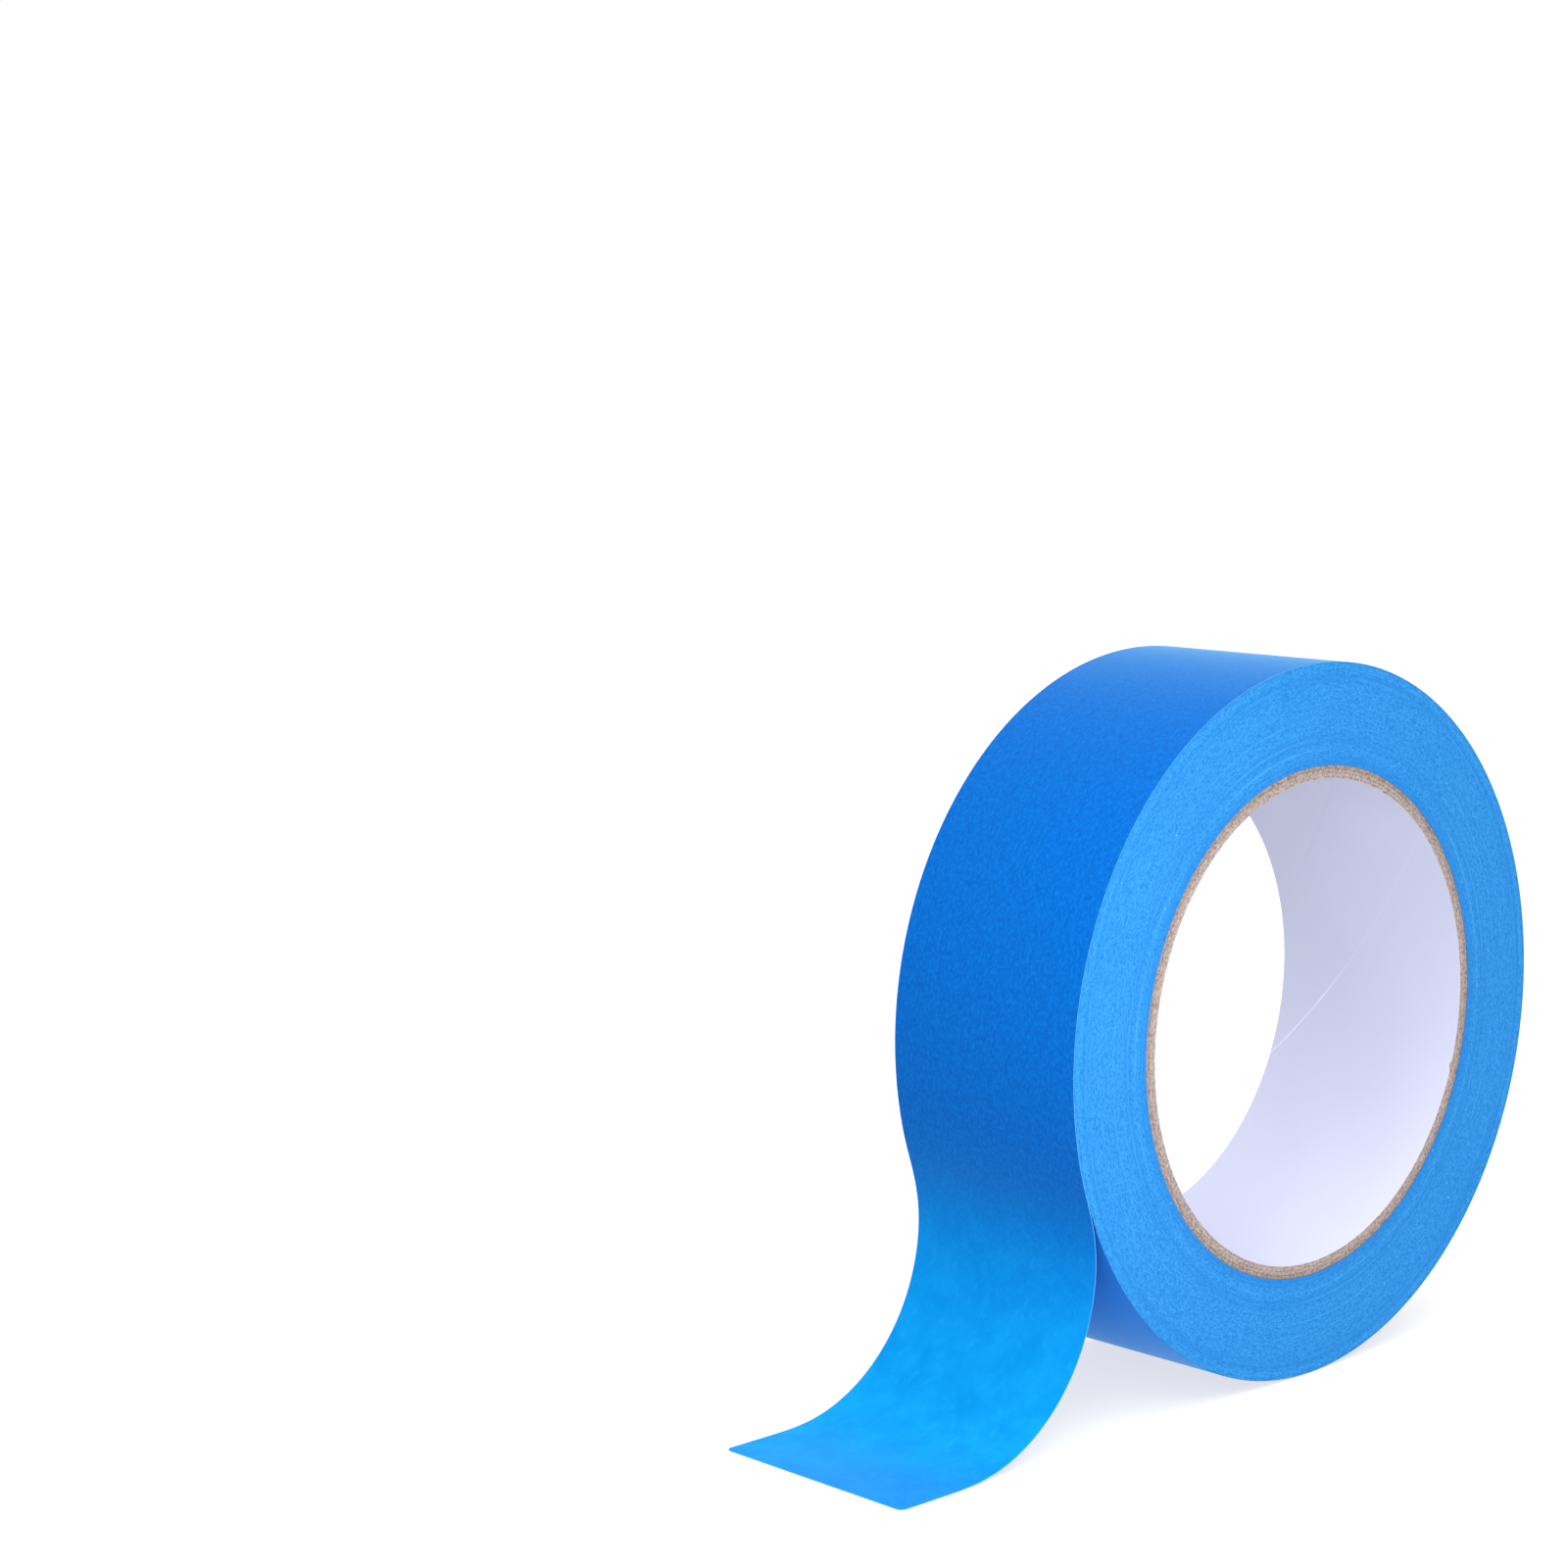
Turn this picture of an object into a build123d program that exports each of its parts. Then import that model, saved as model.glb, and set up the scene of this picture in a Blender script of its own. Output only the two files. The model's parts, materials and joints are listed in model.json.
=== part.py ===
"""Roll of masking tape standing on its edge, with the free end peeled off and laid on the ground.

The origin is at the middle of the bore. +Y runs along the bore, +Z is up, and the tape
leaves the roll on the -X side. All sizes are in millimetres and all angles in degrees.
"""
from build123d import *
import math
import os

# The core: a white paper liner inside three spiral plies of kraft board
WIDTH = 36.0
BORE_RADIUS = 38.1
LINER_THICKNESS = 0.2
PLY_THICKNESS = 0.6
PLY_NAMES = ("inner", "middle", "outer")

# The tape: crepe paper backing with a coat of adhesive on its inner side
OUTER_RADIUS = 56.1
BACKING_THICKNESS = 0.11
ADHESIVE_THICKNESS = 0.03
TAPE_THICKNESS = BACKING_THICKNESS + ADHESIVE_THICKNESS
TURN_CLEARANCE = 0.05  # between the wound turns and the last one, which comes away from them

# The free end: it leaves the roll at a tangent, curls outwards and lies flat on the ground
PEEL_ANGLE = 21.8  # of the peel line, below the horizontal
PEEL_CURL_RADIUS = 21.0
FLAT_LENGTH = 13.0
CUTS = (0.0, 22.0, 49.0)  # bend lines, along the free end from the peel line
LENGTH_NAMES = ("upper", "lower", "end")
BEND_GAP = 0.3  # between two lengths, so that they can fold either way
TURN_GAP = 3.2  # from the start of the last turn to the peel line above it
END_CORNER_RADIUS = 1.0

# Worked out from the sizes above
INNER_TURN_RADIUS = OUTER_RADIUS - TAPE_THICKNESS
PACK_RADIUS = INNER_TURN_RADIUS - TURN_CLEARANCE
CORE_RADIUS = BORE_RADIUS + LINER_THICKNESS + PLY_THICKNESS * len(PLY_NAMES)
PEEL_TURN = math.radians(PEEL_ANGLE)
PEEL_X = -INNER_TURN_RADIUS * math.cos(PEEL_TURN)
PEEL_Z = -INNER_TURN_RADIUS * math.sin(PEEL_TURN)
UPRIGHT_X = PEEL_X + PEEL_CURL_RADIUS * (1 - math.cos(PEEL_TURN))
UPRIGHT_Z = PEEL_Z - PEEL_CURL_RADIUS * math.sin(PEEL_TURN)
GROUND_CURL_RADIUS = UPRIGHT_Z + OUTER_RADIUS
UPRIGHT_AT = PEEL_CURL_RADIUS * PEEL_TURN
GROUND_AT = UPRIGHT_AT + GROUND_CURL_RADIUS * math.pi / 2
TAIL_LENGTH = GROUND_AT + FLAT_LENGTH
BORDERS = (UPRIGHT_AT, GROUND_AT)


def polar(centre_x, centre_z, radius, angle):
    """The point at a radius and an angle (in radians, from +X towards +Z) about a centre."""
    return Vector(centre_x + radius * math.cos(angle), 0, centre_z + radius * math.sin(angle))


def tape_point(along, height):
    """A point of the tape, by its distance past the peel line and its height off the adhesive face."""
    if along < 0:
        angle = math.pi + PEEL_TURN + along / INNER_TURN_RADIUS
        return polar(0, 0, INNER_TURN_RADIUS + height, angle)
    if along < UPRIGHT_AT:
        angle = PEEL_TURN - along / PEEL_CURL_RADIUS
        return polar(UPRIGHT_X - PEEL_CURL_RADIUS, UPRIGHT_Z, PEEL_CURL_RADIUS - height, angle)
    centre_x = UPRIGHT_X - GROUND_CURL_RADIUS
    if along <= GROUND_AT:
        angle = -(along - UPRIGHT_AT) / GROUND_CURL_RADIUS
        return polar(centre_x, UPRIGHT_Z, GROUND_CURL_RADIUS - height, angle)
    return Vector(centre_x - (along - GROUND_AT), 0, height - OUTER_RADIUS)


def tape_edge(start, end, height):
    """One side of the tape's outline: an arc, or a straight line on the ground."""
    first = tape_point(start, height)
    last = tape_point(end, height)
    if start >= GROUND_AT:
        return Line(first, last)
    return ThreePointArc(first, tape_point((start + end) / 2, height), last)


def tape_strip(start, end, low, high):
    """The tape from start to end along it, between two heights off its adhesive face."""
    stops = [start, *(border for border in BORDERS if start < border < end), end]
    outline = [Line(tape_point(stop, low), tape_point(stop, high)) for stop in (start, end)]
    for first, last in zip(stops, stops[1:]):
        outline.append(tape_edge(first, last, low))
        outline.append(tape_edge(first, last, high))
    return extrude(make_face(outline), WIDTH / 2, both=True)


def tape_layers(name, start, end):
    """A length of tape as its two layers, the backing outside the adhesive."""
    return {
        f"{name}_backing": tape_strip(start, end, ADHESIVE_THICKNESS, TAPE_THICKNESS),
        f"{name}_adhesive": tape_strip(start, end, 0, ADHESIVE_THICKNESS),
    }


def sleeve(inner_radius, outer_radius):
    """A tube round the bore axis, as wide as the tape."""
    ring = Plane.XZ * (Circle(outer_radius) - Circle(inner_radius))
    return extrude(ring, WIDTH / 2, both=True)


def core():
    """The liner and the plies that are wound over it."""
    ply_start = BORE_RADIUS + LINER_THICKNESS
    pieces = {"core_liner": sleeve(BORE_RADIUS, ply_start)}
    for index, name in enumerate(PLY_NAMES):
        inner_radius = ply_start + index * PLY_THICKNESS
        pieces[f"core_ply_{name}"] = sleeve(inner_radius, inner_radius + PLY_THICKNESS)
    return pieces


def last_turn():
    """The last turn on the roll, from just under the free end round to the peel line."""
    start = TURN_GAP - 2 * math.pi * INNER_TURN_RADIUS
    return tape_layers("last_turn", start, -BEND_GAP / 2)


def round_end_corners(layer):
    """Ease the two corners at the cut end of the tape."""
    end_face = layer.faces().sort_by(Axis.X)[0]
    corners = end_face.edges().filter_by(Axis.Z)
    return fillet(corners, END_CORNER_RADIUS)


def tail():
    """The free end, in lengths that meet at the bend lines."""
    pieces = {}
    for index, name in enumerate(LENGTH_NAMES):
        start = CUTS[index] + BEND_GAP / 2
        is_end = index + 1 == len(CUTS)
        end = TAIL_LENGTH if is_end else CUTS[index + 1] - BEND_GAP / 2
        layers = tape_layers(f"tail_{name}", start, end)
        if is_end:
            layers = {node: round_end_corners(layer) for node, layer in layers.items()}
        pieces.update(layers)
    return pieces


def print_joints():
    """The lines that the free end bends about, half way through the tape."""
    for name, cut in zip(LENGTH_NAMES, CUTS):
        line = tape_point(cut, TAPE_THICKNESS / 2)
        print(f"tail_{name} bends about x {line.X:.3f}, z {line.Z:.3f}")
    print(f"free end {TAIL_LENGTH:.2f} long, tip at x {tape_point(TAIL_LENGTH, 0).X:.3f}")


def main():
    pieces = {
        **core(),
        "tape_pack": sleeve(CORE_RADIUS, PACK_RADIUS),
        **last_turn(),
        **tail(),
    }
    os.makedirs("parts", exist_ok=True)
    for name, piece in pieces.items():
        export_step(piece, f"parts/{name}.step")
    print_joints()


main()
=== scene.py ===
import json
import math

import bpy
import numpy as np
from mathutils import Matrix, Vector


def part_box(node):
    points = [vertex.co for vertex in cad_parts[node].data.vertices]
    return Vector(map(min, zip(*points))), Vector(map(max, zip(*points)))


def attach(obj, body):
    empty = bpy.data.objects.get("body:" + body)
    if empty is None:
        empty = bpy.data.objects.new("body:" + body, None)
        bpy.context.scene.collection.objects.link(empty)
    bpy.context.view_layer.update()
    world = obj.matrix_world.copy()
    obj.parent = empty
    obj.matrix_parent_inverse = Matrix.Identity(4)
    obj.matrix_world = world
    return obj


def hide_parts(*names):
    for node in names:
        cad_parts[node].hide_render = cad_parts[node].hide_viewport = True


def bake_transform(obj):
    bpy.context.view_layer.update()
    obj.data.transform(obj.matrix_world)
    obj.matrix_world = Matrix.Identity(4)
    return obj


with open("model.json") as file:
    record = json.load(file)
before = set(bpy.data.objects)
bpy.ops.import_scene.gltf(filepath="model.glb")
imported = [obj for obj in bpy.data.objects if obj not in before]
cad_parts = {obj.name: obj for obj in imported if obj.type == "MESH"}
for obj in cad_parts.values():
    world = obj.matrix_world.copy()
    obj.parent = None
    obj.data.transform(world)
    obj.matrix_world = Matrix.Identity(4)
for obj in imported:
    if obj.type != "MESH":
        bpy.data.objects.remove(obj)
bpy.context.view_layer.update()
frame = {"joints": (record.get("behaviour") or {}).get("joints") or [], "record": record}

MM = 0.001
RANDOM = np.random.default_rng(7)

# Sizes that the frame gives
JOINTS = {joint["name"]: joint for joint in frame["joints"]}
MOUNTS = {mount["name"]: mount for mount in frame["record"]["mounts"]}
BORE_RADIUS = MOUNTS["core_bore"]["dims"]["r_mm"] * MM
LINER_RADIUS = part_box("core_liner")[1].x
CORE_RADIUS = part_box("core_ply_outer")[1].x
PACK_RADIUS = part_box("tape_pack")[1].x
HALF_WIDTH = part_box("tape_pack")[1].y
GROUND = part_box("tail_end_adhesive")[0].z
ROLL_RADIUS = -GROUND
TIP_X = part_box("tail_end_backing")[0].x
PLIES = ("core_ply_inner", "core_ply_middle", "core_ply_outer")
PLY = (CORE_RADIUS - LINER_RADIUS) / len(PLIES)

# The tape, and the line of its free end: two arcs, then flat on the ground
BACKING = 0.11 * MM
ADHESIVE = 0.03 * MM
TAPE = BACKING + ADHESIVE
TURN_RADIUS = ROLL_RADIUS - TAPE
PEEL_CURL = 21.0 * MM
PEEL_X, _, PEEL_Z = JOINTS["tail_peel"]["pos_m"]
PEEL_TURN = math.atan2(-PEEL_Z, -PEEL_X)
UPRIGHT_X = -TURN_RADIUS * math.cos(PEEL_TURN) + PEEL_CURL * (1 - math.cos(PEEL_TURN))
UPRIGHT_Z = -(TURN_RADIUS + PEEL_CURL) * math.sin(PEEL_TURN)
GROUND_CURL = UPRIGHT_Z - GROUND
UPRIGHT_AT = PEEL_CURL * PEEL_TURN
GROUND_AT = UPRIGHT_AT + GROUND_CURL * math.pi / 2
TAIL_LENGTH = GROUND_AT + UPRIGHT_X - GROUND_CURL - TIP_X
START_PAST_PEEL = 3.2 * MM  # the last turn begins this far past the peel line, under the free end
TURN_START = START_PAST_PEEL - 2 * math.pi * TURN_RADIUS
END_CORNER = 1.0 * MM

FLOOR_GAP = 0.05 * MM  # so that light gets between the floor and the tape that lies on it

# The length over which the changes of curve are eased, and the stretch in which the easing comes in
EASE, EASE_FROM, EASE_TO = 7.0 * MM, -9.0 * MM, 0.0
EASE_SAMPLES = 13

# Where along the tape each piece of it begins
BORDERS = (-8.0 * MM, 11.0 * MM, 36.0 * MM)

# How finely the tape's mesh is divided: across it, round its corners, and along its pieces
TAPE_COLUMNS = 73
CORNER_STEPS = 9
TURN_STEP, FREE_STEP = 1.4 * MM, 0.35 * MM
PAPER_SIDE, CUT_SIDE, ADHESIVE_SIDE = 0, 1, 2  # the tape pieces' material slots

SHARP_ANGLE = math.radians(40)  # an edge at which a mesh turns by more than this stays sharp


# ---------------------------------------------------------------- meshes

def loop_quads(rows, columns, close_rows):
    """Quads between rows of points whose columns go round in a closed loop."""
    row = np.arange(rows if close_rows else rows - 1)[:, None]
    column = np.arange(columns)[None, :]
    next_row = (row + 1) % rows
    next_column = (column + 1) % columns
    corners = [row * columns + column, next_row * columns + column,
               next_row * columns + next_column, row * columns + next_column]
    return np.stack(corners, axis=-1).reshape(-1, 4)


def make_piece(name, points, quads, materials, material_index=None, tape=None):
    """A smooth-shaded mesh object with its sharp edges kept."""
    mesh = bpy.data.meshes.new(name)
    mesh.from_pydata(points.reshape(-1, 3).tolist(), [], quads.tolist())
    for material in materials:
        mesh.materials.append(material)
    if material_index is not None:
        mesh.polygons.foreach_set("material_index", material_index.astype(np.int32))
    if tape is not None:
        attribute = mesh.attributes.new("tape", "FLOAT_VECTOR", "POINT")
        attribute.data.foreach_set("vector", tape.astype(np.float32).ravel())
    mesh.validate()
    mesh.shade_smooth()
    mesh.set_sharp_from_angle(angle=SHARP_ANGLE)
    piece = bpy.data.objects.new(name, mesh)
    bpy.context.scene.collection.objects.link(piece)
    return piece


def revolve(name, profile, segments, materials, bands=None, shift=0.0, twist=0.0):
    """A closed ring round the bore axis, from a profile of (radius, across) points.

    shift moves each point of each section, and twist turns each point of the profile about the axis.
    """
    angle = np.linspace(0, 2 * math.pi, segments, endpoint=False)[:, None] + twist
    sections = profile[None, :, :] + shift + np.zeros((segments, 1, 1))
    radius, across = sections[..., 0], sections[..., 1]
    points = np.stack([radius * np.cos(angle), across, radius * np.sin(angle)], axis=-1)
    quads = loop_quads(segments, len(profile), True)[:, ::-1]
    index = None if bands is None else np.tile(bands, segments)
    return make_piece(name, points, quads, materials, index)


# ---------------------------------------------------------------- tape

def tape_line(along):
    """The tape's line with its changes of curve eased, as x, z and the outward direction's x and z."""
    reach = EASE * np.clip((along - EASE_FROM) / (EASE_TO - EASE_FROM), 0, 1)
    offsets = np.linspace(-1, 1, EASE_SAMPLES)
    weights = (1 - np.abs(offsets)) / (1 - np.abs(offsets)).sum()
    parts = [
        weight * np.array(sharp_line(along + reach * offset))
        for offset, weight in zip(offsets, weights)
    ]
    x, z, out_x, out_z = np.sum(parts, axis=0)
    length = np.hypot(out_x, out_z)
    return x, z, out_x / length, out_z / length


def sharp_line(along):
    """The adhesive face's x and z at each distance past the peel line, and its outward direction."""
    turn = math.pi + PEEL_TURN + along / TURN_RADIUS
    peel = PEEL_TURN - along / PEEL_CURL
    curl = -(along - UPRIGHT_AT) / GROUND_CURL
    spots = [
        (along < 0, 0.0, 0.0, TURN_RADIUS, turn, 1),
        (along < UPRIGHT_AT, UPRIGHT_X - PEEL_CURL, UPRIGHT_Z, PEEL_CURL, peel, -1),
        (along <= GROUND_AT, UPRIGHT_X - GROUND_CURL, UPRIGHT_Z, GROUND_CURL, curl, -1),
    ]
    x = UPRIGHT_X - GROUND_CURL - (along - GROUND_AT)
    z = np.full_like(along, GROUND)
    out_x = np.zeros_like(along)
    out_z = np.ones_like(along)
    for inside, centre_x, centre_z, radius, angle, side in reversed(spots):
        x = np.where(inside, centre_x + radius * np.cos(angle), x)
        z = np.where(inside, centre_z + radius * np.sin(angle), z)
        out_x = np.where(inside, side * np.cos(angle), out_x)
        out_z = np.where(inside, side * np.sin(angle), out_z)
    return x, z, out_x, out_z


def half_width_at(along):
    """The tape's half width, which the eased corners narrow at its very end."""
    past = np.clip(along - (TAIL_LENGTH - END_CORNER), 0, END_CORNER)
    return HALF_WIDTH - (END_CORNER - np.sqrt(END_CORNER ** 2 - past ** 2))


def strip_faces(rows, columns):
    """The quads of a closed strip of tape, its two ends included, and the side that each is on."""
    around = 2 * columns
    column = np.tile(np.arange(around), rows - 1)
    kind = np.where(column < columns - 1, PAPER_SIDE, ADHESIVE_SIDE)
    kind[(column == columns - 1) | (column == around - 1)] = CUT_SIDE
    cap = np.arange(columns - 1)
    first = np.stack([cap, cap + 1, around - 2 - cap, around - 1 - cap], axis=-1)
    last = first[:, ::-1] + (rows - 1) * around
    quads = np.concatenate([loop_quads(rows, around, False), first, last])
    return quads, np.concatenate([kind, np.full(2 * len(cap), CUT_SIDE)])


def tape_piece(name, start, end, step, thickness_at, materials):
    """A closed length of tape. Its top is paper, its underside adhesive, and its edges are cut paper."""
    along = np.linspace(start, end, max(3, round((end - start) / step) + 1))
    if end >= TAIL_LENGTH:
        corner = TAIL_LENGTH - END_CORNER * (1 - np.sin(np.linspace(0, math.pi / 2, CORNER_STEPS)))
        along = np.concatenate([along[along < corner[0] - step / 2], corner])
    share = np.linspace(-1, 1, TAPE_COLUMNS)
    across = half_width_at(along)[:, None] * np.concatenate([share, share[::-1]])
    height = thickness_at(along)[:, None] * np.repeat([1.0, 0.0], TAPE_COLUMNS)
    x, z, out_x, out_z = tape_line(along)
    points_x = x[:, None] + height * out_x[:, None]
    points_z = z[:, None] + height * out_z[:, None]
    points = np.stack([points_x, across, points_z], axis=-1)
    tape = np.stack([np.broadcast_to(along[:, None], across.shape), across, height], axis=-1)
    quads, kind = strip_faces(len(along), TAPE_COLUMNS)
    return make_piece(name, points, quads, materials, kind, tape.reshape(-1, 3))


# ---------------------------------------------------------------- materials

def srgb(red, green, blue):
    """A colour as it looks on a screen, 0 to 255, as the linear colour that a shader takes."""
    parts = [value / 255 for value in (red, green, blue)]
    return [v / 12.92 if v <= 0.04045 else ((v + 0.055) / 1.055) ** 2.4 for v in parts] + [1.0]


# Colours of the tape's paper: on the roll; where light comes through it, also painted into its colour as a
# glow; and a painted light on the paper under the free end
PAPER_DARK, PAPER_LIGHT, PAPER_FIBRE = srgb(1, 69, 140), srgb(1, 75, 148), srgb(4, 89, 165)
THROUGH_DARK, THROUGH_LIGHT, THROUGH_FLECK = srgb(4, 132, 198), srgb(12, 144, 208), srgb(30, 161, 220)
PAINTED_GAP_LIGHT = srgb(0, 104, 205)

# Colours of the adhesive, and of the light that comes through it
ADHESIVE_DARK, ADHESIVE_LIGHT = srgb(34, 112, 190), srgb(52, 134, 208)
ADHESIVE_LET_THROUGH = (0.75, 0.9, 1.0, 1.0)

# How much of the light goes through the paper and the adhesive
PAPER_THROUGH, ADHESIVE_THROUGH = 0.45, 0.75

# Along the tape: where its colour turns paler with a painted glow of the light from behind, where light
# comes through it, where both fade again as it comes down on the ground (the colour's fade a painted
# shade), and where the painted light on the paper under the free end fades out
PAINTED_GLOW_RANGE, FREE, LANDING = (-12 * MM, 42 * MM), (4 * MM, 36 * MM), (40 * MM, 66 * MM)
PAINTED_GAP_LIGHT_FADE = (TURN_START + 55 * MM, TURN_START + 110 * MM)
# how much the end's landing takes of the painted glow and of the light through it, and the strength of the
# painted light under the free end
LANDING_SHARE, PAINTED_GAP_LIGHT_SHARE = 0.65, 0.7
FREE_SLANT, LANDING_SLANT = 0.12, -0.6  # how far these places shift along for each unit across

# Sheen of the paper where it is seen at a low angle
SHEEN, SHEEN_ROUGHNESS, SHEEN_TINT = 0.45, 0.35, (0.3, 0.75, 1.0, 1.0)
PAPER_IOR, CUT_IOR, LINER_IOR = 1.05, 1.2, 1.3

# The grain of the slit edges and of the board: its length along the turns
EDGE_GRAIN, BOARD_GRAIN = 0.7 * MM, 0.5 * MM

# Outwards from the bore: where the board turns darker, and where the turns next to the core turn lighter
BOARD_FADE = (LINER_RADIUS + 0.5 * MM, CORE_RADIUS - 0.3 * MM)
EDGE_FADE = (CORE_RADIUS, CORE_RADIUS + 2.0 * MM)

LAP_SEEN = (2 * MM, 9 * MM)  # across the bore, where the painted highlight along the liner's lap comes in
FLOOR_GREY, FLOOR_GLOW = 0.24, 0.7

# Colours of the slit edges, the board and the liner
EDGE_DARK, EDGE_LIGHT, EDGE_PALE = srgb(22, 104, 174), srgb(38, 124, 189), srgb(72, 155, 211)
EDGE_CORE, EDGE_LINT = srgb(21, 99, 172), srgb(140, 185, 215)
BOARD_DARK, BOARD_LIGHT, BOARD_FLECK = srgb(122, 110, 105), srgb(163, 149, 142), srgb(189, 177, 171)
BOARD_OUTER_DARK, BOARD_OUTER_LIGHT = srgb(109, 95, 90), srgb(149, 133, 126)
LINER_DARK, LINER_LIGHT = srgb(175, 177, 197), srgb(179, 181, 201)
# a painted highlight for the liner's lap, and painted shade for the dent of a ply's seam
LAP_PAINTED_HIGHLIGHT, GROOVE_PAINTED_SHADE = srgb(236, 237, 252), srgb(150, 152, 184)


class Nodes:
    """A short way to write a material's nodes. A value is a number, a colour or another node's output."""

    def __init__(self, name):
        self.material = bpy.data.materials.new(name)
        self.material.use_nodes = True
        self.tree = self.material.node_tree
        self.shader = self.tree.nodes["Principled BSDF"]
        self.output = self.tree.nodes["Material Output"]

    def add(self, kind, inputs=None, **settings):
        """A new node of this kind, with these values at its inputs."""
        node = self.tree.nodes.new(kind)
        for key, value in settings.items():
            setattr(node, key, value)
        for key, value in (inputs or {}).items():
            self.put(node.inputs[key], value)
        return node

    def put(self, socket, value):
        """Gives this value to an input."""
        if isinstance(value, bpy.types.NodeSocket):
            self.tree.links.new(value, socket)
        else:
            socket.default_value = value

    def math(self, operation, first, second=0.0, third=0.0):
        """The result of one operation on numbers."""
        node = self.add("ShaderNodeMath", {0: first, 1: second, 2: third}, operation=operation)
        return node.outputs[0]

    def noise(self, vector, scale, detail=2.0, roughness=0.5):
        """Noise from 0 to 1, with this many waves to each unit of the vector."""
        inputs = {"Vector": vector, "Scale": scale, "Detail": detail, "Roughness": roughness}
        return self.add("ShaderNodeTexNoise", inputs).outputs["Fac"]

    def stretch(self, vector, scale):
        """A vector with each of its parts scaled."""
        inputs = {0: vector, 1: scale}
        return self.add("ShaderNodeVectorMath", inputs, operation="MULTIPLY").outputs[0]

    def ramp(self, value, low, high):
        """A value's way from low to high, as 0 to 1 with soft ends."""
        inputs = {"Value": value, "From Min": low, "From Max": high}
        node = self.add("ShaderNodeMapRange", inputs, interpolation_type="SMOOTHSTEP")
        return node.outputs["Result"]

    def mix(self, share, first, second):
        """The first colour, with this share of the second in its place."""
        node = self.add("ShaderNodeMix", data_type="RGBA")
        colours = [socket for socket in node.inputs if socket.type == "RGBA"]
        self.put(node.inputs["Factor"], share)
        self.put(colours[0], first)
        self.put(colours[1], second)
        return next(socket for socket in node.outputs if socket.type == "RGBA")

    def bump(self, height, distance, strength=1.0, below=None):
        """A surface direction roughened by a height, on top of the bump below if there is one."""
        node = self.add("ShaderNodeBump", {"Height": height, "Distance": distance, "Strength": strength})
        if below is not None:
            self.put(node.inputs["Normal"], below)
        return node.outputs["Normal"]

    def let_through(self, colour, share):
        """Lets this share of the light through the surface, with this colour."""
        through = self.add("ShaderNodeBsdfTranslucent", {"Color": colour}).outputs[0]
        whole = self.add("ShaderNodeMixShader", {0: share, 1: self.shader.outputs[0], 2: through})
        self.put(self.output.inputs["Surface"], whole.outputs[0])


def tape_place(nodes):
    """Where a point is on the tape: along it, across it and through it, in metres."""
    return nodes.add("ShaderNodeAttribute", attribute_name="tape").outputs["Vector"]


def ring_place(nodes, grain):
    """A point's place and radius, and a place for grain of this length, drawn out round the bore axis."""
    place = nodes.add("ShaderNodeTexCoord").outputs["Object"]
    flat = nodes.stretch(place, (1.0, 0.0, 1.0))
    radius = nodes.add("ShaderNodeVectorMath", {0: flat}, operation="LENGTH").outputs["Value"]
    direction = nodes.add("ShaderNodeVectorMath", {0: flat}, operation="NORMALIZE").outputs[0]
    round_axis = nodes.stretch(direction, (CORE_RADIUS / grain,) * 3)
    outward = nodes.add("ShaderNodeCombineXYZ", {"Y": nodes.math("MULTIPLY", radius, 1 / TAPE)}).outputs[0]
    both = nodes.add("ShaderNodeVectorMath", {0: round_axis, 1: outward}, operation="ADD").outputs[0]
    return place, radius, both


def free_end_shares(nodes, along, across):
    """How far a painted glow of light from behind has turned the colour paler, and how far light comes
    through, along the free end. Both drop where the end lands; in the colour that drop is painted shade.
    """
    slanted = nodes.math("MULTIPLY_ADD", across, FREE_SLANT, along)
    # painted shade: where the end lies on the ground most of the painted glow goes, sooner at its near
    # side; the light through it drops too
    landing = nodes.ramp(nodes.math("MULTIPLY_ADD", across, LANDING_SLANT, along), *LANDING)
    aloft = nodes.math("SUBTRACT", 1.0, nodes.math("MULTIPLY", landing, LANDING_SHARE))
    # painted glow: pale is the share by which the colour is turned towards the colour of the light through
    # the tape
    pale = nodes.math("MULTIPLY", nodes.ramp(slanted, *PAINTED_GLOW_RANGE), aloft)
    free = nodes.math("MULTIPLY", nodes.ramp(slanted, *FREE), aloft)
    return pale, free


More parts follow.
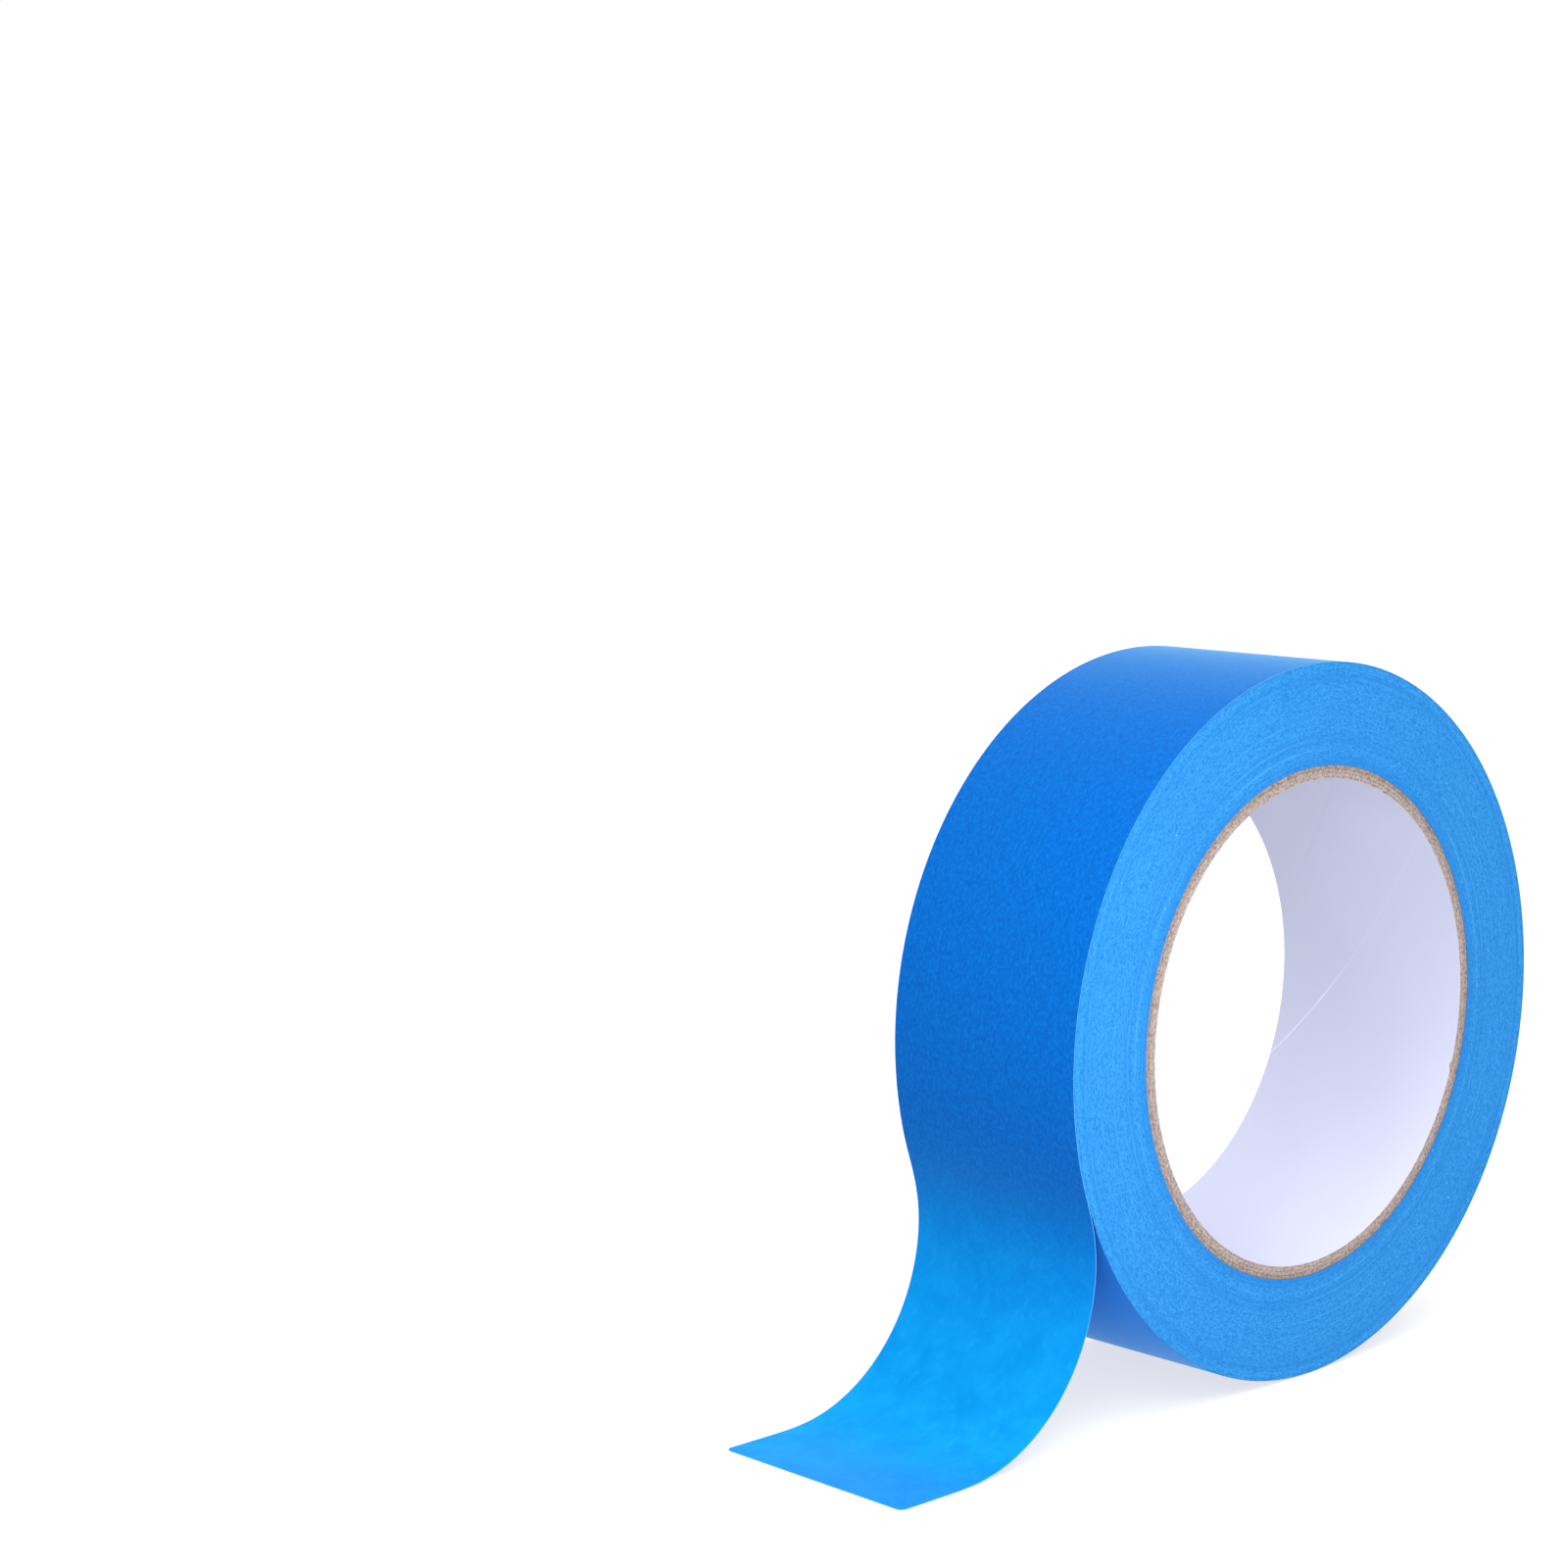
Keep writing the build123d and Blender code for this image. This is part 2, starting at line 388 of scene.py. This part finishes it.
def tape_paper():
    """The smooth side of the blue paper: finely mottled; bright where light comes through it, by real
    translucency and by a painted glow in its colour; and brightened by painted light at the start of the
    last turn, under the free end.
    """
    nodes = Nodes("tape_paper")
    place = tape_place(nodes)
    parts = nodes.add("ShaderNodeSeparateXYZ", {0: place})
    along = parts.outputs["X"]
    pale, free = free_end_shares(nodes, along, parts.outputs["Y"])
    fibre = nodes.noise(nodes.stretch(place, (1.0, 1.5, 0.0)), 1300, 4.0, 0.65)
    cloud = nodes.noise(place, 140, 4.0, 0.6)
    fleck = nodes.noise(nodes.stretch(place, (1.0, 1.3, 0.0)), 520, 3.0, 0.55)
    colour = nodes.mix(nodes.ramp(fleck, 0.3, 0.7), PAPER_DARK, PAPER_LIGHT)
    colour = nodes.mix(nodes.math("MULTIPLY", nodes.ramp(fibre, 0.42, 0.66), 0.7), colour, PAPER_FIBRE)
    # painted light: the paper at the start of the last turn, in the gap under the free end, is brightened,
    # fading out along the tape
    gap_light_fading = nodes.math("MULTIPLY", nodes.ramp(along, *PAINTED_GAP_LIGHT_FADE), PAINTED_GAP_LIGHT_SHARE)
    gap_light_share = nodes.math("SUBTRACT", PAINTED_GAP_LIGHT_SHARE, gap_light_fading)
    colour = nodes.mix(gap_light_share, colour, PAINTED_GAP_LIGHT)
    lit = nodes.mix(nodes.ramp(cloud, 0.3, 0.7), THROUGH_DARK, THROUGH_LIGHT)
    lit = nodes.mix(nodes.math("MULTIPLY", nodes.ramp(fleck, 0.5, 0.75), 0.3), lit, THROUGH_FLECK)
    # painted light: the base colour turns towards the through-light colour by the painted glow's share
    nodes.put(nodes.shader.inputs["Base Color"], nodes.mix(pale, colour, lit))
    nodes.put(nodes.shader.inputs["Roughness"], nodes.math("MULTIPLY_ADD", fibre, 0.15, 0.32))
    nodes.shader.inputs["IOR"].default_value = PAPER_IOR
    nodes.shader.inputs["Sheen Weight"].default_value = SHEEN
    nodes.shader.inputs["Sheen Roughness"].default_value = SHEEN_ROUGHNESS
    nodes.shader.inputs["Sheen Tint"].default_value = SHEEN_TINT
    nodes.put(nodes.shader.inputs["Normal"], nodes.bump(fibre, 0.03 * MM, 0.5))
    nodes.let_through(lit, nodes.math("MULTIPLY", free, PAPER_THROUGH))
    return nodes.material


def adhesive_face():
    """The tacky underside: a thin glossy film over the paper, which light comes through."""
    nodes = Nodes("adhesive_face")
    place = tape_place(nodes)
    cloud = nodes.noise(place, 260, 4.0, 0.6)
    colour = nodes.mix(nodes.ramp(cloud, 0.3, 0.7), ADHESIVE_DARK, ADHESIVE_LIGHT)
    nodes.put(nodes.shader.inputs["Base Color"], colour)
    nodes.put(nodes.shader.inputs["Roughness"], nodes.math("MULTIPLY_ADD", cloud, 0.25, 0.22))
    nodes.put(nodes.shader.inputs["Normal"], nodes.bump(cloud, 0.03 * MM, 0.4))
    nodes.let_through(ADHESIVE_LET_THROUGH, ADHESIVE_THROUGH)
    return nodes.material


def turn_edges():
    """The slit edges of the wound turns: light blue, grained along the turns, with faint rings."""
    nodes = Nodes("turn_edges")
    place, radius, grain_place = ring_place(nodes, EDGE_GRAIN)
    ring = nodes.add("ShaderNodeCombineXYZ", {"X": radius}).outputs[0]
    grain = nodes.noise(nodes.stretch(grain_place, (1.0, 0.45, 1.0)), 1.0, 4.0, 0.65)
    fuzz = nodes.noise(place, 2400, 2.0, 0.6)
    rings = nodes.noise(ring, 1300, 2.0, 0.6)
    bands = nodes.noise(ring, 420, 2.0, 0.5)
    patches = nodes.noise(place, 45, 2.0, 0.5)
    colour = nodes.mix(nodes.ramp(grain, 0.36, 0.64), EDGE_DARK, EDGE_LIGHT)
    colour = nodes.mix(nodes.math("MULTIPLY", nodes.ramp(fuzz, 0.42, 0.7), 0.3), colour, EDGE_PALE)
    strong = nodes.math("MULTIPLY", nodes.ramp(patches, 0.35, 0.65), 0.4)
    colour = nodes.mix(nodes.math("MULTIPLY", nodes.ramp(rings, 0.52, 0.64), strong), colour, EDGE_PALE)
    colour = nodes.mix(nodes.math("MULTIPLY", nodes.ramp(bands, 0.48, 0.68), 0.35), colour, EDGE_DARK)
    by_core = nodes.math("SUBTRACT", 1.0, nodes.ramp(radius, *EDGE_FADE))
    colour = nodes.mix(nodes.math("MULTIPLY", by_core, 0.4), colour, EDGE_CORE)
    lint = nodes.add("ShaderNodeTexVoronoi", {"Vector": place, "Scale": 560}).outputs["Distance"]
    rare = nodes.ramp(nodes.noise(place, 230, 0.0), 0.62, 0.7)
    speck = nodes.math("MULTIPLY", nodes.math("SUBTRACT", 1.0, nodes.ramp(lint, 0.04, 0.11)), rare)
    colour = nodes.mix(nodes.math("MULTIPLY", speck, 0.6), colour, EDGE_LINT)
    nodes.put(nodes.shader.inputs["Base Color"], colour)
    nodes.shader.inputs["Roughness"].default_value = 0.9
    nodes.shader.inputs["IOR"].default_value = CUT_IOR
    relief = nodes.bump(grain, 0.04 * MM, 0.5)
    nodes.put(nodes.shader.inputs["Normal"], nodes.bump(rings, 0.04 * MM, 0.5, relief))
    return nodes.material


def cut_edge():
    """The cut edge of a single thickness of tape, which catches the light."""
    nodes = Nodes("cut_edge")
    fibre = nodes.noise(tape_place(nodes), 2500, 3.0)
    nodes.put(nodes.shader.inputs["Base Color"], nodes.mix(fibre, EDGE_LIGHT, EDGE_PALE))
    nodes.shader.inputs["Roughness"].default_value = 0.8
    return nodes.material


def kraft_board():
    """Grey-brown board, granular where it is cut, and paler towards the bore."""
    nodes = Nodes("kraft_board")
    place, radius, grain_place = ring_place(nodes, BOARD_GRAIN)
    grain = nodes.noise(nodes.stretch(grain_place, (1.0, 0.35, 1.0)), 1.0, 4.0, 0.65)
    fleck = nodes.noise(place, 2600, 3.0, 0.6)
    inner = nodes.mix(nodes.ramp(grain, 0.36, 0.62), BOARD_DARK, BOARD_LIGHT)
    outer = nodes.mix(nodes.ramp(grain, 0.36, 0.62), BOARD_OUTER_DARK, BOARD_OUTER_LIGHT)
    colour = nodes.mix(nodes.ramp(radius, *BOARD_FADE), inner, outer)
    colour = nodes.mix(nodes.math("MULTIPLY", nodes.ramp(fleck, 0.62, 0.75), 0.5), colour, BOARD_FLECK)
    nodes.put(nodes.shader.inputs["Base Color"], colour)
    nodes.shader.inputs["Roughness"].default_value = 0.95
    nodes.shader.inputs["IOR"].default_value = CUT_IOR
    nodes.put(nodes.shader.inputs["Normal"], nodes.bump(grain, 0.1 * MM, 0.8))
    return nodes.material


def liner_paper():
    """Smooth white paper with a lilac tinge, with a painted highlight along its lap and painted shade
    along the dent.
    """
    nodes = Nodes("liner_paper")
    place = nodes.add("ShaderNodeTexCoord").outputs["Object"]
    cloud = nodes.noise(place, 70, 3.0)
    fibre = nodes.noise(place, 1500, 3.0)
    colour = nodes.mix(cloud, LINER_DARK, LINER_LIGHT)
    seam = nodes.add("ShaderNodeAttribute", attribute_name="seam").outputs["Vector"]
    marks = nodes.add("ShaderNodeSeparateXYZ", {0: seam})
    across = nodes.add("ShaderNodeSeparateXYZ", {0: place}).outputs["Y"]
    # painted highlight along the lap: kept is its share, coming in across the bore and broken up by the
    # cloud
    kept = nodes.math("MULTIPLY", nodes.ramp(across, *LAP_SEEN), nodes.ramp(cloud, 0.35, 0.6))
    kept = nodes.math("MULTIPLY_ADD", kept, 0.35, 0.05)
    colour = nodes.mix(nodes.math("MULTIPLY", marks.outputs["X"], kept), colour, LAP_PAINTED_HIGHLIGHT)
    # painted shade along the dent of a ply's seam
    colour = nodes.mix(nodes.math("MULTIPLY", marks.outputs["Y"], 0.15), colour, GROOVE_PAINTED_SHADE)
    nodes.put(nodes.shader.inputs["Base Color"], colour)
    nodes.put(nodes.shader.inputs["Roughness"], nodes.math("MULTIPLY_ADD", fibre, 0.1, 0.5))
    nodes.put(nodes.shader.inputs["Normal"], nodes.bump(fibre, 0.01 * MM, 0.4))
    nodes.shader.inputs["IOR"].default_value = LINER_IOR
    return nodes.material


def floor_white():
    """Plain pale floor, which gives off a little light so that shadows on it stay faint."""
    nodes = Nodes("floor_white")
    nodes.shader.inputs["Base Color"].default_value = (FLOOR_GREY, FLOOR_GREY, FLOOR_GREY, 1)
    nodes.shader.inputs["Emission Color"].default_value = (1, 1, 1, 1)
    nodes.shader.inputs["Emission Strength"].default_value = FLOOR_GLOW
    nodes.shader.inputs["Roughness"].default_value = 0.9
    nodes.shader.inputs["Specular IOR Level"].default_value = 0.1
    return nodes.material


# ---------------------------------------------------------------- pieces

# The free end's lengths: each one's name, the bodies on both sides of its joint, how it is held, and
# the piece that it hangs from or lies against
FREE_LENGTHS = (
    ("peel", "last_turn", "tail_upper", "hung", "tape_last_turn"),
    ("curl", "tail_upper", "tail_lower", "hung", "tape_peel"),
    ("end", "tail_lower", "tail_end", "laid", "tape_curl"),
)

SETTLED_SHARE = 0.9  # of its thickness, that the last turn has sunk by at its start
TURN_DRIFT, TURN_JITTER = 0.03 * MM, 0.006 * MM  # of the turns' edges in or out: slowly, and one by one
PLY_CORNER, PLY_ROUGHNESS = 0.06 * MM, 0.025 * MM

# Seams inside the core: they run round the bore by this much for each unit across it
SEAM_SLOPE = -1.3
LAP_AT, LAP_WIDTH, LAP_HEIGHT = 7.3 * MM, 4.0 * MM, 0.06 * MM
LAP_FLAT = (-2.0 * MM, 8.0 * MM)  # across the bore, the lap rises from almost flat to its full height
LAP_LEAST = 0.1
GROOVE_AT, GROOVE_WIDTH, GROOVE_DEPTH = 33.0 * MM, 0.5 * MM, 0.05 * MM

# Nicks in the liner's front edge, as angles from +X towards +Z
NICKS = (math.radians(64.0), math.radians(-18.5))
NICK_DEPTH, NICK_WIDTH = 0.35 * MM, 0.5 * MM


def full_thickness(along):
    """The tape's own thickness, everywhere."""
    return np.full_like(along, TAPE)


def settling_thickness(along):
    """The last turn's thickness, which goes down towards its start as a spiral sinks to the turn below."""
    back = np.clip((BORDERS[0] - along) / (BORDERS[0] - TURN_START), 0, 1)
    return TAPE * (1 - SETTLED_SHARE * back)


def make_last_turn(materials):
    """The last turn of tape on the roll, up to where the first length of the free end begins."""
    turn = tape_piece("tape_last_turn", TURN_START, BORDERS[0], TURN_STEP, settling_thickness, materials)
    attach(turn, "last_turn")
    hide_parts("last_turn_backing", "last_turn_adhesive")


def make_free_end(materials):
    """The free end in three lengths, each of which crosses one joint."""
    stops = [*BORDERS, TAIL_LENGTH]
    for (name, above, below, held, rests_on), start, end in zip(FREE_LENGTHS, stops, stops[1:]):
        piece = tape_piece(f"tape_{name}", start, end, FREE_STEP, full_thickness, materials)
        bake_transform(piece)
        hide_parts(f"{below}_backing", f"{below}_adhesive")


def make_pack(paper, edges):
    """The wound turns under the last one. Each turn's edge sits a little in or out of its neighbours."""
    segments = 256
    turns = round((PACK_RADIUS - CORE_RADIUS) / TAPE)
    radii = np.linspace(CORE_RADIUS + 0.01 * MM, PACK_RADIUS, turns + 1)
    drift = np.cumsum(RANDOM.normal(0, 1, turns + 1))
    drift -= np.linspace(drift[0], drift[-1], turns + 1)
    drift = TURN_DRIFT * drift / np.abs(drift).max() + RANDOM.normal(0, TURN_JITTER, turns + 1)
    inset = np.abs(drift)
    inset[[0, -1]] = 0
    front = np.stack([radii, inset - HALF_WIDTH], axis=-1)
    back = np.stack([radii, HALF_WIDTH - inset], axis=-1)[::-1]
    profile = np.concatenate([front, back])
    bands = np.zeros(len(profile), int)
    bands[[turns, len(profile) - 1]] = 1
    piece = revolve("wound_turns", profile, segments, [edges, paper], bands)
    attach(piece, "roll")
    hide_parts("tape_pack")


def make_ply(index, node, board):
    """One ply of the core, with soft corners and a rough cut at each end."""
    segments, steps = 480, 7
    low = LINER_RADIUS + index * PLY
    radii = np.linspace(low + PLY_CORNER, low + PLY - PLY_CORNER, steps)
    radii = np.concatenate([[low], radii, [low + PLY]])
    depth = np.full(len(radii), -HALF_WIDTH)
    depth[[0, -1]] += PLY_CORNER
    front = np.stack([radii, depth], axis=-1)
    profile = np.concatenate([front, (front * (1, -1))[::-1]])
    rough = np.abs(RANDOM.normal(0, PLY_ROUGHNESS, (segments, len(profile))))
    shift = np.stack([np.zeros_like(rough), -rough * np.sign(profile[:, 1])], axis=-1)
    piece = revolve(node.replace("core_ply", "board_ply"), profile, segments, [board], shift=shift)
    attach(piece, "roll")
    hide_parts(node)


def liner_relief(segments, step, across):
    """How far each point of the liner's inner face is moved outwards, and the marks of its two seams.

    The mesh's own lines run along the seams, so each seam is a few whole columns of it.
    """
    column = np.arange(segments)
    lap = (column - round(LAP_AT / step)) % segments
    groove = (column - round(GROOVE_AT / step) + segments // 2) % segments - segments // 2
    rise = np.where(lap * step < LAP_WIDTH, LAP_HEIGHT * (1 - lap * step / LAP_WIDTH), 0.0)
    stands = np.clip((across - LAP_FLAT[0]) / (LAP_FLAT[1] - LAP_FLAT[0]), LAP_LEAST, 1)
    dip = GROOVE_DEPTH * np.exp(-(groove * step / GROOVE_WIDTH) ** 2)
    marks = np.stack([lap == 0, groove == 0, 0 * column], axis=-1).astype(float)
    return dip[:, None] - rise[:, None] * stands[None, :], marks


def nick_depths(angle):
    """How deep the liner's front edge is nicked at each angle round the bore."""
    depth = np.zeros_like(angle)
    for nick in NICKS:
        gap = (angle - nick + math.pi) % (2 * math.pi) - math.pi
        depth += NICK_DEPTH * np.exp(-(gap * BORE_RADIUS / NICK_WIDTH) ** 2)
    return depth


def make_liner(paper, board):
    """The white paper inside the core, with the lap of its seam, the dent of a ply's seam and nicks."""
    segments, rows = 720, 61
    step = 2 * math.pi * BORE_RADIUS / segments
    across = np.linspace(-HALF_WIDTH, HALF_WIDTH, rows)
    inner = np.stack([np.full(rows, BORE_RADIUS), across], axis=-1)
    outer = np.stack([np.full(rows, LINER_RADIUS), across[::-1]], axis=-1)
    profile = np.concatenate([inner, outer])
    shift = np.zeros((segments, len(profile), 2))
    relief, marks = liner_relief(segments, step, across)
    shift[:, :rows, 0] = relief
    front_angle = np.arange(segments) * step / BORE_RADIUS + SEAM_SLOPE * across[0] / BORE_RADIUS
    shift[:, [0, -1], 1] = nick_depths(front_angle)[:, None]
    twist = SEAM_SLOPE * profile[:, 1] / BORE_RADIUS
    bands = np.zeros(len(profile), int)
    bands[[rows - 1, -1]] = 1
    piece = revolve("core_lining", profile, segments, [paper, board], bands, shift, twist)
    # marks of the lap and the dent, where the liner's material paints a highlight and a shade
    attribute = piece.data.attributes.new("seam", "FLOAT_VECTOR", "POINT")
    attribute.data.foreach_set("vector", np.repeat(marks, len(profile), axis=0).astype(np.float32).ravel())
    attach(piece, "roll")
    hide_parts("core_liner")


# ---------------------------------------------------------------- stage

# The camera's place round the middle of the bore, and how far it is turned and tipped down, in degrees
CAMERA_DISTANCE, CAMERA_AZIMUTH, CAMERA_ELEVATION = 546.9 * MM, -51.04, 11.30
CAMERA_TURN, CAMERA_DIP = -43.56, 7.67
LENS, SENSOR = 78.36, 36  # in millimetres
CLIP_START = 0.01

FLOOR_REACH = 6.0  # of the floor from the middle, each way


def make_camera():
    """A long lens a little above the roll, at its front left."""
    azimuth, elevation = math.radians(CAMERA_AZIMUTH), math.radians(CAMERA_ELEVATION)
    data = bpy.data.cameras.new("camera")
    data.lens = LENS
    data.sensor_width = SENSOR
    data.clip_start = CLIP_START
    camera = bpy.data.objects.new("camera", data)
    camera.location = (
        CAMERA_DISTANCE * math.sin(azimuth) * math.cos(elevation),
        -CAMERA_DISTANCE * math.cos(azimuth) * math.cos(elevation),
        CAMERA_DISTANCE * math.sin(elevation),
    )
    camera.rotation_euler = (math.pi / 2 - math.radians(CAMERA_DIP), 0, math.radians(CAMERA_TURN))
    bpy.context.scene.collection.objects.link(camera)
    bpy.context.scene.camera = camera


def make_floor():
    """A wide plain floor under the object."""
    level = GROUND - FLOOR_GAP
    corners = ((-1, -1), (1, -1), (1, 1), (-1, 1))
    points = np.array([(x * FLOOR_REACH, y * FLOOR_REACH, level) for x, y in corners])
    floor = make_piece("floor", points, np.array([[0, 1, 2, 3]]), [floor_white()])


def add_lamp(name, kind, place, energy, **settings):
    """A lamp that faces the roll, and that the camera doesn't see."""
    data = bpy.data.lights.new(name, kind)
    data.energy = energy
    for key, value in settings.items():
        setattr(data, key, value)
    lamp = bpy.data.objects.new(name, data)
    lamp.location = place
    lamp.rotation_euler = (-lamp.location).to_track_quat("-Z", "Y").to_euler()
    lamp.visible_camera = False
    bpy.context.scene.collection.objects.link(lamp)


def make_light():
    """A white room, with a wide soft light overhead, a low fill in front and a softbox at the left."""
    world = bpy.data.worlds.new("studio")
    world.use_nodes = True
    background = world.node_tree.nodes["Background"]
    background.inputs["Color"].default_value = (1, 1, 1, 1)
    background.inputs["Strength"].default_value = 1.0
    bpy.context.scene.world = world
    add_lamp("overhead", "SUN", (-0.1, -0.2, 1.2), 3.8, angle=math.radians(75))
    add_lamp("fill", "AREA", (-0.28, -0.45, -0.02), 0.25, shape="SQUARE", size=0.3)
    add_lamp("softbox", "AREA", (-0.15, -0.10, 0.06), 0.24, shape="SQUARE", size=0.10)
    bpy.context.scene.view_settings.view_transform = "Standard"


make_camera()
paper = tape_paper()
tape_sides = [paper, cut_edge(), adhesive_face()]  # at PAPER_SIDE, CUT_SIDE and ADHESIVE_SIDE
make_last_turn(tape_sides)
make_free_end(tape_sides)
make_pack(paper, turn_edges())
board = kraft_board()
for ply_index, ply_node in enumerate(PLIES):
    make_ply(ply_index, ply_node, board)
make_liner(liner_paper(), board)
make_floor()
make_light()
